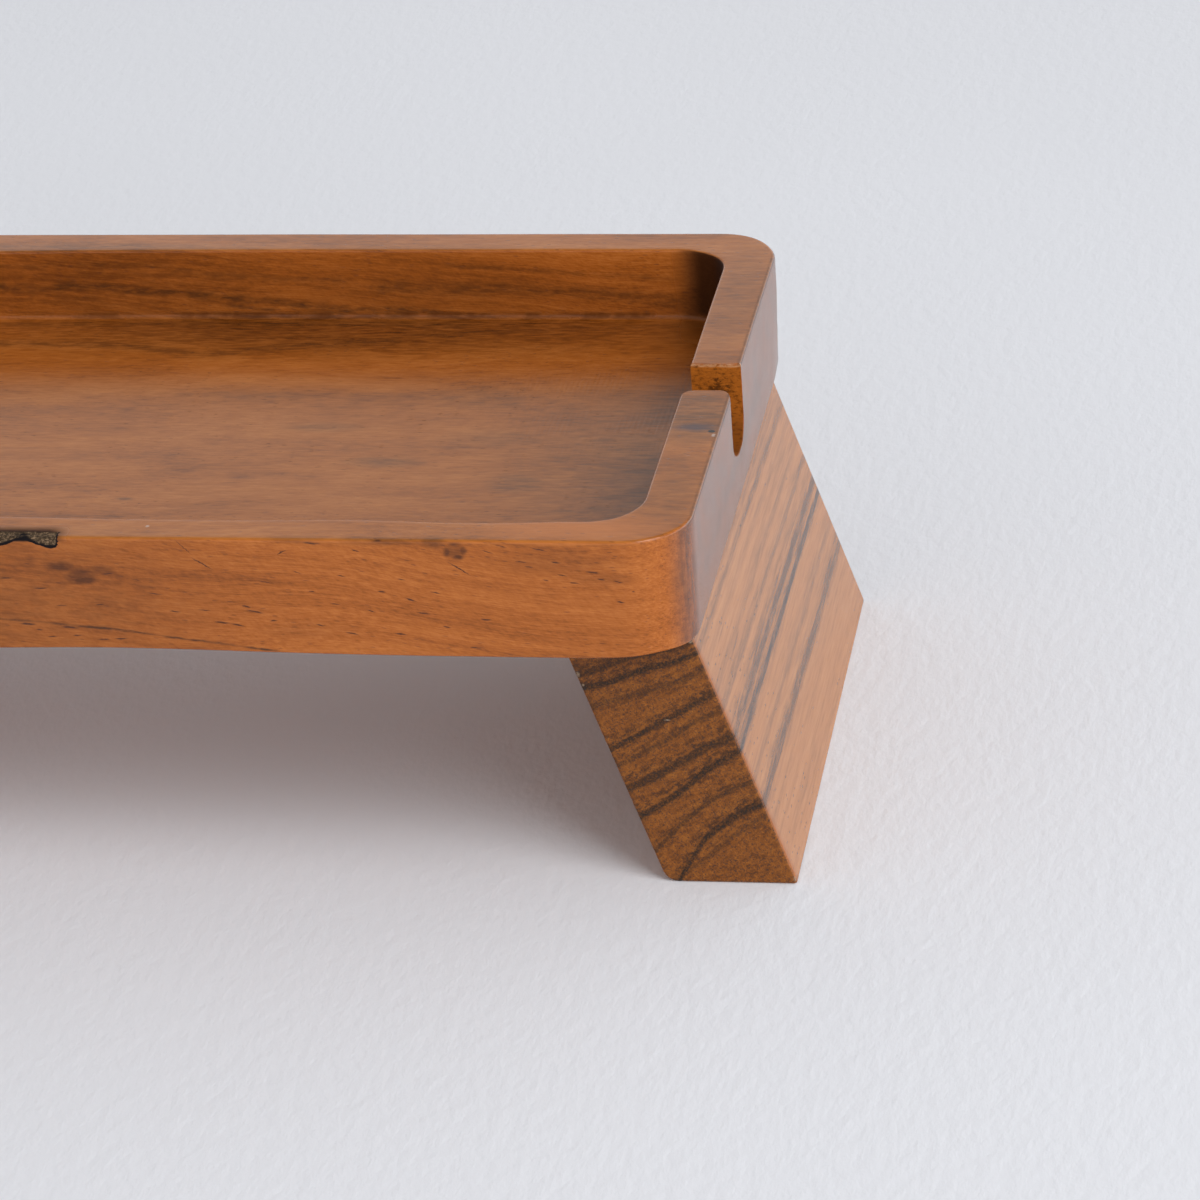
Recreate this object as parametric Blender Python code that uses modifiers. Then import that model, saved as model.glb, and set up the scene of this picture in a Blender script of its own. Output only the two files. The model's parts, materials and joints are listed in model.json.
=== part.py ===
"""Desk organizer tray: one routed board on two splayed legs, joined with hidden dowels.

Run it with: blender --background --python part.py
The origin is on the desk, under the middle of the tray. +X points to the slotted end,
-Y to the front edge and +Z up. All lengths are in metres.
"""
import math

import bmesh
import bpy
from mathutils import Matrix

# Tray board
tray_length = 0.305
tray_depth = 0.150
stock_thickness = 0.025
tray_floor = 0.009
side_wall = 0.0086
end_wall = 0.0103
tray_corner_radius = 0.013
pocket_corner_radius = 0.0112
pocket_cove_radius = 0.0025
rim_outer_ease = 0.0012
rim_inner_ease = 0.0005
under_edge_round = 0.002

# Slot through the right end wall
slot_width = 0.0127
slot_foot_radius_share = 0.42
slot_sill_rise = 0.0003
slot_lip_depth = 0.0025
slot_lip_flare = 0.0042

# Legs
leg_height = 0.054
leg_splay = math.radians(18.25)
leg_length = 0.1225
leg_front_inset = 0.0097
leg_end_inset = 0.0012
leg_edge_ease = 0.0005
leg_heel_round = 0.0022

# Joints between the legs and the tray
glue_line = 0.0003
dowel_diameter = 0.008
dowel_depth_in_leg = 0.016
dowel_end_margin = 0.018
dowel_chamfer = 0.0008
dowel_clearance = 0.0003
floor_left_over_dowel = 0.003

# How far a cutter runs past the face that it opens
cut_overrun = 0.005

# Facets
corner_segments = 12
cove_segments = 4
ease_segments = 3
dowel_segments = 24
lip_steps = 4
smooth_limit = math.radians(30)
ease_limit = math.radians(60)

# Worked out from the sizes above
leg_slope = math.tan(leg_splay)
leg_width = stock_thickness / math.cos(leg_splay)
leg_front = leg_front_inset - tray_depth / 2
leg_middle_y = leg_front + leg_length / 2
leg_top_outer = tray_length / 2 - leg_end_inset
leg_foot_middle = leg_top_outer - leg_width / 2 + leg_height * leg_slope
underside = leg_height + glue_line
rim_height = underside + stock_thickness
pocket_bottom = underside + tray_floor
slot_sill = pocket_bottom + slot_sill_rise
dowel_radius = dowel_diameter / 2
dowel_x = leg_top_outer - leg_width / 2 + leg_slope * dowel_depth_in_leg / 2
dowel_hole_bottom = leg_height - dowel_depth_in_leg
dowel_hole_top = pocket_bottom - floor_left_over_dowel
dowel_names = ("front", "middle", "back")
sides = {"right": 1, "left": -1}

# Linear colour, roughness and metallic value of each wood
woods = {
    "tray_wood": ((0.38, 0.13, 0.042), 0.42, 0.0),
    "leg_wood": ((0.44, 0.24, 0.16), 0.5, 0.0),
    "dowel_wood": ((0.56, 0.37, 0.21), 0.7, 0.0),
}


def clear_scene():
    for thing in list(bpy.data.objects):
        bpy.data.objects.remove(thing, do_unlink=True)


def make_collection(name):
    collection = bpy.data.collections.new(name)
    bpy.context.scene.collection.children.link(collection)
    return collection


def make_wood(name):
    colour, roughness, metallic = woods[name]
    wood = bpy.data.materials.new(name)
    wood.use_nodes = True
    shader = wood.node_tree.nodes["Principled BSDF"]
    shader.inputs["Base Color"].default_value = (*colour, 1)
    shader.inputs["Roughness"].default_value = roughness
    shader.inputs["Metallic"].default_value = metallic
    return wood


def add_object(name, bm, collection, location):
    mesh = bpy.data.meshes.new(name)
    bmesh.ops.recalc_face_normals(bm, faces=bm.faces)
    bm.to_mesh(mesh)
    bm.free()
    thing = bpy.data.objects.new(name, mesh)
    thing.location = location
    collection.objects.link(thing)
    return thing


def add_piece(name, bm, collection, location, wood, stand):
    piece = add_object(name, bm, collection, location)
    piece.data.materials.append(wood)
    piece.parent = stand
    return piece


def add_cutter(name, bm, collection, location):
    cutter = add_object(name, bm, collection, location)
    cutter.hide_render = True
    cutter.display_type = "WIRE"
    return cutter


def cut(piece, cutter):
    modifier = piece.modifiers.new(cutter.name, "BOOLEAN")
    modifier.operation = "DIFFERENCE"
    modifier.solver = "EXACT"
    modifier.object = cutter


def ease_edges(piece, width, segments):
    modifier = piece.modifiers.new("eased edges", "BEVEL")
    modifier.width = width
    modifier.segments = segments
    modifier.limit_method = "ANGLE"
    modifier.angle_limit = ease_limit


def apply_modifiers(piece):
    """Make the modifiers' result the piece's own mesh, smooth up to its sharp edges."""
    graph = bpy.context.evaluated_depsgraph_get()
    mesh = bpy.data.meshes.new_from_object(piece.evaluated_get(graph))
    mesh.name = piece.name
    piece.modifiers.clear()
    piece.data = mesh
    mesh.shade_smooth()
    mesh.set_sharp_from_angle(angle=smooth_limit)


def edges_at_height(bm, height):
    return [edge for edge in bm.edges if all(math.isclose(v.co.z, height, abs_tol=1e-7) for v in edge.verts)]


def round_edges(bm, edges, radius, segments):
    bmesh.ops.bevel(bm, geom=edges, offset=radius, segments=segments, profile=0.5, affect="EDGES")


def block(length, width, height):
    """A box that stands on zero height, centred on the upright axis."""
    bm = bmesh.new()
    bmesh.ops.create_cube(bm, size=1)
    bmesh.ops.scale(bm, vec=(length, width, height), verts=bm.verts)
    bmesh.ops.translate(bm, vec=(0, 0, height / 2), verts=bm.verts)
    return bm


def block_with_round_corners(length, width, height, corner_radius):
    bm = block(length, width, height)
    upright_edges = [edge for edge in bm.edges if edge.verts[0].co.xy == edge.verts[1].co.xy]
    round_edges(bm, upright_edges, corner_radius, corner_segments)
    return bm


def make_board(collection, wood, stand):
    """The board before it is routed: round corners, eased rim, rounded under edge."""
    bm = block_with_round_corners(tray_length, tray_depth, stock_thickness, tray_corner_radius)
    round_edges(bm, edges_at_height(bm, stock_thickness), rim_outer_ease, ease_segments)
    round_edges(bm, edges_at_height(bm, 0), under_edge_round, cove_segments)
    return add_piece("tray_board", bm, collection, (0, 0, underside), wood, stand)


def make_pocket_cutter(collection):
    """The routed pocket, with a cove where its walls meet its floor."""
    length = tray_length - 2 * end_wall
    width = tray_depth - 2 * side_wall
    height = rim_height + cut_overrun - pocket_bottom
    bm = block_with_round_corners(length, width, height, pocket_corner_radius)
    round_edges(bm, edges_at_height(bm, 0), pocket_cove_radius, cove_segments)
    return add_cutter("pocket cutter", bm, collection, (0, 0, pocket_bottom))


def lip_rounding(depth):
    """How far the slot's front side gives way at this depth behind the nearer face of the wall."""
    share_left = 1 - min(max(depth / slot_lip_depth, 0), 1)
    return slot_lip_flare * (1 - math.sqrt(1 - share_left ** 2))


def make_slot_cutter(collection):
    """A U-shaped way through the end wall, whose front side is rounded over at both wall faces."""
    bm = block(end_wall + 2 * cut_overrun, slot_width, rim_height + cut_overrun - slot_sill)
    foot_edges = [edge for edge in edges_at_height(bm, 0) if edge.verts[0].co.y == edge.verts[1].co.y]
    round_edges(bm, foot_edges, slot_foot_radius_share * slot_width, corner_segments)
    for step in range(lip_steps + 1):
        ring_x = end_wall / 2 - slot_lip_depth * step / lip_steps
        for plane_x in (ring_x, -ring_x):
            whole = bm.verts[:] + bm.edges[:] + bm.faces[:]
            bmesh.ops.bisect_plane(bm, geom=whole, plane_co=(plane_x, 0, 0), plane_no=(1, 0, 0))
    for vert in bm.verts:
        front_share = max(-2 * vert.co.y / slot_width, 0)
        vert.co.y -= front_share * lip_rounding(end_wall / 2 - abs(vert.co.x))
    wall_middle = (tray_length - end_wall) / 2
    return add_cutter("slot cutter", bm, collection, (wall_middle, 0, slot_sill))


def make_leg(side_name, collection, wood, stand):
    """A leg of the same stock, sheared outward, with its inner bottom edge rounded."""
    side = sides[side_name]
    bm = block(leg_width, leg_length, leg_height)
    heel = [edge for edge in edges_at_height(bm, 0) if all(v.co.x * side < 0 for v in edge.verts)]
    bmesh.ops.transform(bm, matrix=Matrix.Shear("XY", 4, (-side * leg_slope, 0)), verts=bm.verts)
    round_edges(bm, heel, leg_heel_round, cove_segments)
    leg = add_piece("leg_" + side_name, bm, collection, (side * leg_foot_middle, leg_middle_y, 0), wood, stand)
    ease_edges(leg, leg_edge_ease, ease_segments)
    return leg


def dowel_y(index):
    first = leg_front + dowel_end_margin
    last = leg_front + leg_length - dowel_end_margin
    return first + (last - first) * index / (len(dowel_names) - 1)


def rod(radius, length):
    bm = bmesh.new()
    bmesh.ops.create_cone(
        bm, cap_ends=True, segments=dowel_segments, radius1=radius, radius2=radius, depth=length
    )
    bmesh.ops.translate(bm, vec=(0, 0, length / 2), verts=bm.verts)
    return bm


def make_dowel(name, place, collection, wood, stand):
    """A plain dowel with chamfered ends, free of its hole by the clearance all round."""
    bm = rod(dowel_radius, dowel_hole_top - dowel_hole_bottom - 2 * dowel_clearance)
    foot = (place[0], place[1], dowel_hole_bottom + dowel_clearance)
    dowel = add_piece(name, bm, collection, foot, wood, stand)
    ease_edges(dowel, dowel_chamfer, 1)
    return dowel


def make_dowel_hole_cutter(name, place, collection):
    bm = rod(dowel_radius + dowel_clearance, dowel_hole_top - dowel_hole_bottom)
    return add_cutter(name + " hole cutter", bm, collection, (place[0], place[1], dowel_hole_bottom))


def main():
    clear_scene()
    parts = make_collection("desk_organizer_tray")
    cutters = make_collection("cutters")
    tray_wood = make_wood("tray_wood")
    leg_wood = make_wood("leg_wood")
    dowel_wood = make_wood("dowel_wood")
    stand = bpy.data.objects.new("desk_organizer_tray", None)
    parts.objects.link(stand)

    board = make_board(parts, tray_wood, stand)
    cut(board, make_pocket_cutter(cutters))
    ease_edges(board, rim_inner_ease, ease_segments)
    cut(board, make_slot_cutter(cutters))
    pieces = [board]
    for side_name, side in sides.items():
        leg = make_leg(side_name, parts, leg_wood, stand)
        pieces.append(leg)
        for index, place_name in enumerate(dowel_names):
            name = "dowel_" + side_name + "_" + place_name
            place = (side * dowel_x, dowel_y(index))
            pieces.append(make_dowel(name, place, parts, dowel_wood, stand))
            hole_cutter = make_dowel_hole_cutter(name, place, cutters)
            cut(board, hole_cutter)
            cut(leg, hole_cutter)

    bpy.context.view_layer.update()
    for piece in pieces:
        apply_modifiers(piece)


if __name__ == "__main__":
    main()
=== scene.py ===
"""Desk organizer tray, dressed: a routed hardwood board on two splayed plank legs.

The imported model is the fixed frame. The board and the legs get a finer surface of their own in
its place, the hidden dowels keep theirs, and each wood is a solid texture made from nodes.
The file is laid out as an add-on and run as a script. Lengths are metres in the shapes and
millimetres inside the materials, both measured from the frame's own origin.
"""
import json
import math

import bmesh
import bpy
from mathutils import Matrix, Vector, noise

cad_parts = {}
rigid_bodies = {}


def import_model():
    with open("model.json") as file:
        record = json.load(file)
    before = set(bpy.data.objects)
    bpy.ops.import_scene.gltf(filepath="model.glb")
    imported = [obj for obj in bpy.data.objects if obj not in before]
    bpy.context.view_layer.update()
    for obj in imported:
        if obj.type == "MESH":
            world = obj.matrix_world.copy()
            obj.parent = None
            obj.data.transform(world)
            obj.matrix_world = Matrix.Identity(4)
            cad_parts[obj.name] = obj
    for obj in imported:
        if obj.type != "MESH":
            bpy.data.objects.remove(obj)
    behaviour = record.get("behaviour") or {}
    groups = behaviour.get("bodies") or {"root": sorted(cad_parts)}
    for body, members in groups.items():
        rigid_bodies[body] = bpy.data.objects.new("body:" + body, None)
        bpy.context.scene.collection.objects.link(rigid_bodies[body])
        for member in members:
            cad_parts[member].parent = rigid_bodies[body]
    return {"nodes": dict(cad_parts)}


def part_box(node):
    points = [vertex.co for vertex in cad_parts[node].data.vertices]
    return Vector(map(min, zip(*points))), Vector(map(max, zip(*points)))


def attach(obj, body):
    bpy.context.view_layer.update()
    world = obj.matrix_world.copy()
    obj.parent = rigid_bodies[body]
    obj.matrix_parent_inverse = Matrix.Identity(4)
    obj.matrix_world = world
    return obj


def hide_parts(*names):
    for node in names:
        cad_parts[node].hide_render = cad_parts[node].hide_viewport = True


startup_objects = [thing.name for thing in bpy.data.objects]
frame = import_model()

bl_info = {
    "name": "Desk Organizer Tray",
    "version": (1, 0, 0),
    "blender": (4, 5, 0),
    "location": "3D Viewport > Sidebar > Desk Tray",
    "description": "Dresses the desk organizer tray: routed board, plank legs, dowels and studio",
    "category": "Add Mesh",
}

MM = 0.001

# Places read from the frame
BOARD_LOW, BOARD_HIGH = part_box("tray_board")
HALF_LENGTH = (BOARD_HIGH.x - BOARD_LOW.x) / 2
HALF_DEPTH = (BOARD_HIGH.y - BOARD_LOW.y) / 2
UNDERSIDE = BOARD_LOW.z
RIM = BOARD_HIGH.z
LEG_SIDES = {"right": 1, "left": -1}
DOWEL_PLACES = ("front", "middle", "back")

# Faces that meet at more than this angle get a sharp edge between them
SHARP_ANGLE = math.radians(40)


# Settings that a user may change

def length_setting(name, default, description):
    return bpy.props.FloatProperty(
        name=name, description=description, default=default, min=0.0, precision=5, unit="LENGTH"
    )


def colour_setting(name, default, description):
    return bpy.props.FloatVectorProperty(
        name=name, description=description, default=default, size=3, min=0.0, max=1.0, subtype="COLOR"
    )


def share_setting(name, default, description):
    return bpy.props.FloatProperty(
        name=name, description=description, default=default, min=0.0, max=1.0, subtype="FACTOR"
    )


def strength_setting(name, default, description):
    return bpy.props.FloatProperty(name=name, description=description, default=default, min=0.0)


class TrayBoardSizes(bpy.types.PropertyGroup):
    """Sizes of the routed board that its box doesn't give."""

    side_wall: length_setting("Side wall", 0.0086, "Thickness of the front and back walls")
    end_wall: length_setting("End wall", 0.0103, "Thickness of the end walls")
    pocket_depth: length_setting("Pocket depth", 0.016, "Depth of the pocket below the rim")
    corner_radius: length_setting("Corner radius", 0.013, "Radius of the board's corners in plan")
    pocket_radius: length_setting("Pocket radius", 0.0112, "Radius of the pocket's corners in plan")
    cove: length_setting("Cove", 0.0010, "Radius where the pocket's walls meet its floor")
    outer_ease: length_setting("Outer ease", 0.0007, "Radius of the rim's outer edge")
    inner_ease: length_setting("Inner ease", 0.0006, "Radius of the rim's inner edge")
    under_round: length_setting("Under round", 0.0007, "Radius of the underside's edge")
    waviness: length_setting("Waviness", 0.00012, "How far hand sanding strays from true")
    rim_bow: length_setting("Rim bow", 0.0019, "How far the back wall bows into the pocket")
    back_thicker: length_setting("Back thicker", 0.0008, "How much thicker the back wall is")
    front_lift: length_setting("Front lift", 0.0010, "How far the front's lower edge is sanded up")
    corner_lift: length_setting("Corner lift", 0.0007, "How far the front corner's lower edge is sanded up")
    corner_undercut: length_setting("Corner undercut", 0.0007, "How far the back corner leans in")
    bark_depth: length_setting("Bark depth", 0.0003, "How deep the bark pocket lies in the rim")


class SlotSizes(bpy.types.PropertyGroup):
    """Sizes of the slot through the right end wall."""

    width: length_setting("Width", 0.0127, "Width of the slot")
    sill_rise: length_setting("Sill rise", 0.0003, "Height of the sill over the pocket floor")
    foot_radius: length_setting("Foot radius", 0.00533, "Radius of the slot's two bottom corners")
    lip_depth: length_setting("Lip depth", 0.0025, "How deep the front side is rounded over")
    lip_flare: length_setting("Lip flare", 0.0042, "How wide the front side is rounded over")
    chip: length_setting("Chip", 0.0006, "How far the back edge of the slot is chipped away")
    saw_marks: length_setting("Saw marks", 0.00009, "Roughness of the unsanded slot")


class LegSizes(bpy.types.PropertyGroup):
    """Sizes of the plank legs that their boxes don't give."""

    splay: bpy.props.FloatProperty(
        name="Splay", description="Angle of the legs to the upright",
        default=math.radians(18.25), min=0.0, max=1.0, subtype="ANGLE", unit="ROTATION",
    )
    edge_ease: length_setting("Edge ease", 0.0007, "Radius of the planks' edges")
    heel_round: length_setting("Heel round", 0.0022, "Radius of the inner bottom edge")
    joint_gap: length_setting("Joint gap", 0.00003, "Gap left between the leg and the board")
    hole_clearance: length_setting("Hole clearance", 0.0003, "Gap round a dowel in its hole")


class WoodLooks(bpy.types.PropertyGroup):
    """Colours and finish of the woods."""

    tray_light: colour_setting("Tray, light", (0.45, 0.138, 0.023), "Lightest wood of the board")
    tray_base: colour_setting("Tray, main", (0.35, 0.094, 0.010), "Main wood of the board")
    tray_dark: colour_setting("Tray, dark", (0.195, 0.049, 0.004), "Darkest bands of the board")
    tray_vein: colour_setting("Tray, veins", (0.065, 0.021, 0.004), "Pores and veins of the board")
    tray_nick: colour_setting("Tray, nicks", (0.075, 0.022, 0.006), "Nicks and pores of the board")
    # Knots and dark patches, also the colour of painted shade along the foot of the back wall
    tray_knot_and_shade: colour_setting("Tray, knots", (0.090, 0.023, 0.002), "Knots and dark patches of the board")
    # Dark patches of level faces, also the colour of painted shade on the pocket floor's right part and
    # along the rim's outer edge at the ends
    tray_smudge_and_shade: colour_setting("Tray, smudges", (0.092, 0.033, 0.010), "Dark patches of level faces")
    bark: colour_setting("Bark", (0.21, 0.135, 0.078), "Bark pocket in the rim")
    char: colour_setting("Bark line", (0.008, 0.006, 0.007), "Line round the bark pocket")
    slot_wood: colour_setting("Slot", (0.30, 0.085, 0.008), "Unsanded wood in the slot")
    broken_wood: colour_setting("Broken edge", (0.42, 0.22, 0.11), "Freshly chipped edges")
    stain: colour_setting("Stain", (0.060, 0.036, 0.044), "Blue-grey stain in the rim")
    scratch: colour_setting("Scratch", (0.50, 0.42, 0.37), "Pale scratches of the rim")
    splinter: colour_setting("Splinters", (0.30, 0.21, 0.14), "Pale splinters of the legs")
    leg_light: colour_setting("Leg, light", (0.45, 0.195, 0.068), "Lightest wood of the legs")
    leg_base: colour_setting("Leg, main", (0.37, 0.146, 0.045), "Main wood of the legs")
    leg_ring: colour_setting("Leg, rings", (0.030, 0.020, 0.020), "Dark rings of the legs")
    board_end: share_setting("Board's end grain", 0.48, "How bright the board's end grain is")
    leg_end: colour_setting("Legs' end grain", (0.57, 0.43, 0.14), "Tint of the legs' end grain")
    dowel: colour_setting("Dowel", (0.56, 0.37, 0.21), "Plain wood of the dowels")
    gloss_roughness: share_setting("Finish", 0.22, "Roughness of the satin finish")


class StudioLooks(bpy.types.PropertyGroup):
    """Floor, lamps and camera."""

    floor: colour_setting("Floor", (0.765, 0.775, 0.81), "Pale paper that the tray stands on")
    floor_size: length_setting("Floor size", 6.0, "Length of the floor's sides")
    room: colour_setting("Room", (0.97, 0.98, 1.0), "Colour of the pale room")
    low_wall: strength_setting("Low wall", 1.30, "Brightness of the walls low down")
    right_wall: strength_setting("Right wall", 3.0, "Brightness of the right wall low down")
    high_wall: strength_setting("High wall", 0.66, "Brightness of the walls half way up")
    ceiling: strength_setting("Ceiling", 0.34, "Brightness of the ceiling")
    key_power: bpy.props.FloatProperty(
        name="Key power", description="Power of the soft key lamp", default=58.0, min=0.0, unit="POWER"
    )
    key_size: length_setting("Key size", 1.8, "Side of the soft key lamp")
    key_place: bpy.props.FloatVectorProperty(
        name="Key place", description="Where the key lamp hangs", default=(1.784, -1.454, 2.293),
        size=3, subtype="TRANSLATION", unit="LENGTH",
    )
    camera_place: bpy.props.FloatVectorProperty(
        name="Camera place", description="Where the camera stands",
        default=(0.290636, -0.884626, 0.481234), size=3, subtype="TRANSLATION", unit="LENGTH",
    )
    camera_turn: bpy.props.FloatVectorProperty(
        name="Camera turn", description="Which way the camera looks",
        default=(math.radians(63.26026), math.radians(3.82694), math.radians(8.91206)),
        size=3, subtype="EULER", unit="ROTATION",
    )
    camera_lens: bpy.props.FloatProperty(
        name="Lens", description="Focal length on a 36 mm sensor", default=146.352, min=1.0
    )


class DeskTraySettings(bpy.types.PropertyGroup):
    """All settings of the dressed desk tray."""

    board: bpy.props.PointerProperty(type=TrayBoardSizes, name="Board", description="Routed board")
    slot: bpy.props.PointerProperty(type=SlotSizes, name="Slot", description="Slot in the end wall")
    legs: bpy.props.PointerProperty(type=LegSizes, name="Legs", description="Plank legs")
    wood: bpy.props.PointerProperty(type=WoodLooks, name="Wood", description="Woods and finish")
    studio: bpy.props.PointerProperty(type=StudioLooks, name="Studio", description="Floor and light")


# Rings of points and the skins between them

def quarter_turn(steps):
    """Sine and cosine at even steps from zero to a right angle."""
    turns = [math.pi / 2 * step / steps for step in range(steps + 1)]
    return [(math.sin(turn), math.cos(turn)) for turn in turns]


def rounded_outline(half_width, half_height, radii, steps):
    """Points round a rectangle with rounded corners, anticlockwise from its lower right corner.

    radii belong to the lower right, upper right, upper left and lower left corner. steps are the
    parts of each level side, each upright side and each corner.
    """
    level_steps, upright_steps, corner_steps = steps
    signs = ((1, -1), (1, 1), (-1, 1), (-1, -1))
    centres = [
        Vector((sign_x * (half_width - radius), sign_y * (half_height - radius)))
        for (sign_x, sign_y), radius in zip(signs, radii)
    ]
    points = []
    for corner in range(4):
        start = math.radians(90 * corner - 90)
        for step in range(corner_steps):
            turn = start + math.pi / 2 * step / corner_steps
            points.append(centres[corner] + radii[corner] * Vector((math.cos(turn), math.sin(turn))))
        after = (corner + 1) % 4
        turn = start + math.pi / 2
        outward = Vector((math.cos(turn), math.sin(turn)))
        first = centres[corner] + radii[corner] * outward
        last = centres[after] + radii[after] * outward
        side_steps = upright_steps if corner % 2 == 0 else level_steps
        points += [first.lerp(last, step / side_steps) for step in range(side_steps)]
    return points


def add_ring(bm, points):
    """Vertices at the points, with one vertex where neighbouring points coincide."""
    ring = []
    for point in points:
        if ring and (ring[-1].co - point).length < 1e-8:
            ring.append(ring[-1])
        elif ring and (ring[0].co - point).length < 1e-8:
            ring.append(ring[0])
        else:
            ring.append(bm.verts.new(point))
    return ring


def bridge(bm, first, second):
    """Faces between two rings of as many points."""
    for index in range(len(first)):
        after = (index + 1) % len(first)
        corners = [first[index], first[after], second[after], second[index]]
        kept = [vert for place, vert in enumerate(corners) if vert is not corners[place - 1]]
        if len(kept) > 2:
            bm.faces.new(kept)


def fill_with_grid(bm, ring, steps):
    """Closes a ring whose corners are sharp with a grid of faces."""
    level_steps, upright_steps, corner_steps = steps
    count = len(ring)
    right = corner_steps
    top = right + upright_steps + corner_steps
    left = top + level_steps + corner_steps
    bottom = left + upright_steps + corner_steps
    columns = []
    for i in range(level_steps + 1):
        low = ring[(bottom + i) % count]
        high = ring[top + level_steps - i]
        column = [low]
        for j in range(1, upright_steps):
            start = ring[left + upright_steps - j]
            end = ring[right + j]
            if i == 0:
                column.append(start)
            elif i == level_steps:
                column.append(end)
            else:
                column.append(bm.verts.new(start.co.lerp(end.co, i / level_steps)))
        column.append(high)
        columns.append(column)
    for first, second in zip(columns, columns[1:]):
        for j in range(upright_steps):
            bm.faces.new((first[j], second[j], second[j + 1], first[j + 1]))


def skin(outlines, steps, to_space):
    """A closed mesh over outlines given as (points, level); both ends are filled with grids."""
    bm = bmesh.new()
    rings = [add_ring(bm, [to_space(point, level) for point in points]) for points, level in outlines]
    for first, second in zip(rings, rings[1:]):
        bridge(bm, first, second)
    fill_with_grid(bm, rings[0], steps)
    fill_with_grid(bm, rings[-1], steps)
    bmesh.ops.recalc_face_normals(bm, faces=bm.faces)
    return bm


def smooth_share(value, start, end):
    """0 before start, 1 after end, and a smooth rise between them."""
    share = min(max((value - start) / (end - start), 0), 1)
    return share * share * (3 - 2 * share)


def hump(value, middle, spread):
    return math.exp(-((value - middle) / spread) ** 2)


def finished_object(name, bm):
    mesh = bpy.data.meshes.new(name)
    bm.to_mesh(mesh)
    bm.free()
    thing = bpy.data.objects.new(name, mesh)
    bpy.context.scene.collection.objects.link(thing)
    return thing


def cut(thing, cutters):
    """Takes the cutters out of the thing and removes them."""
    for cutter in cutters:
        modifier = thing.modifiers.new(cutter.name, "BOOLEAN")
        modifier.operation = "DIFFERENCE"
        modifier.solver = "EXACT"
        modifier.object = cutter
    graph = bpy.context.evaluated_depsgraph_get()
    mesh = bpy.data.meshes.new_from_object(thing.evaluated_get(graph))
    thing.modifiers.clear()
    thing.data = mesh
    mesh.name = thing.name
    for cutter in cutters:
        bpy.data.objects.remove(cutter, do_unlink=True)


def shade(thing):
    """Smooth faces up to sharp edges, with large faces kept flat beside their rounded edges."""
    thing.data.shade_smooth()
    thing.data.set_sharp_from_angle(angle=SHARP_ANGLE)
    weighted = thing.modifiers.new("flat faces", "WEIGHTED_NORMAL")
    weighted.keep_sharp = True


def place_piece(thing, node, material):
    """Gives the piece its finish and puts it in the place of its CAD node."""
    thing.data.materials.clear()
    thing.data.materials.append(material)
    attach(thing, "root")
    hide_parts(node)


# Node trees

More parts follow.
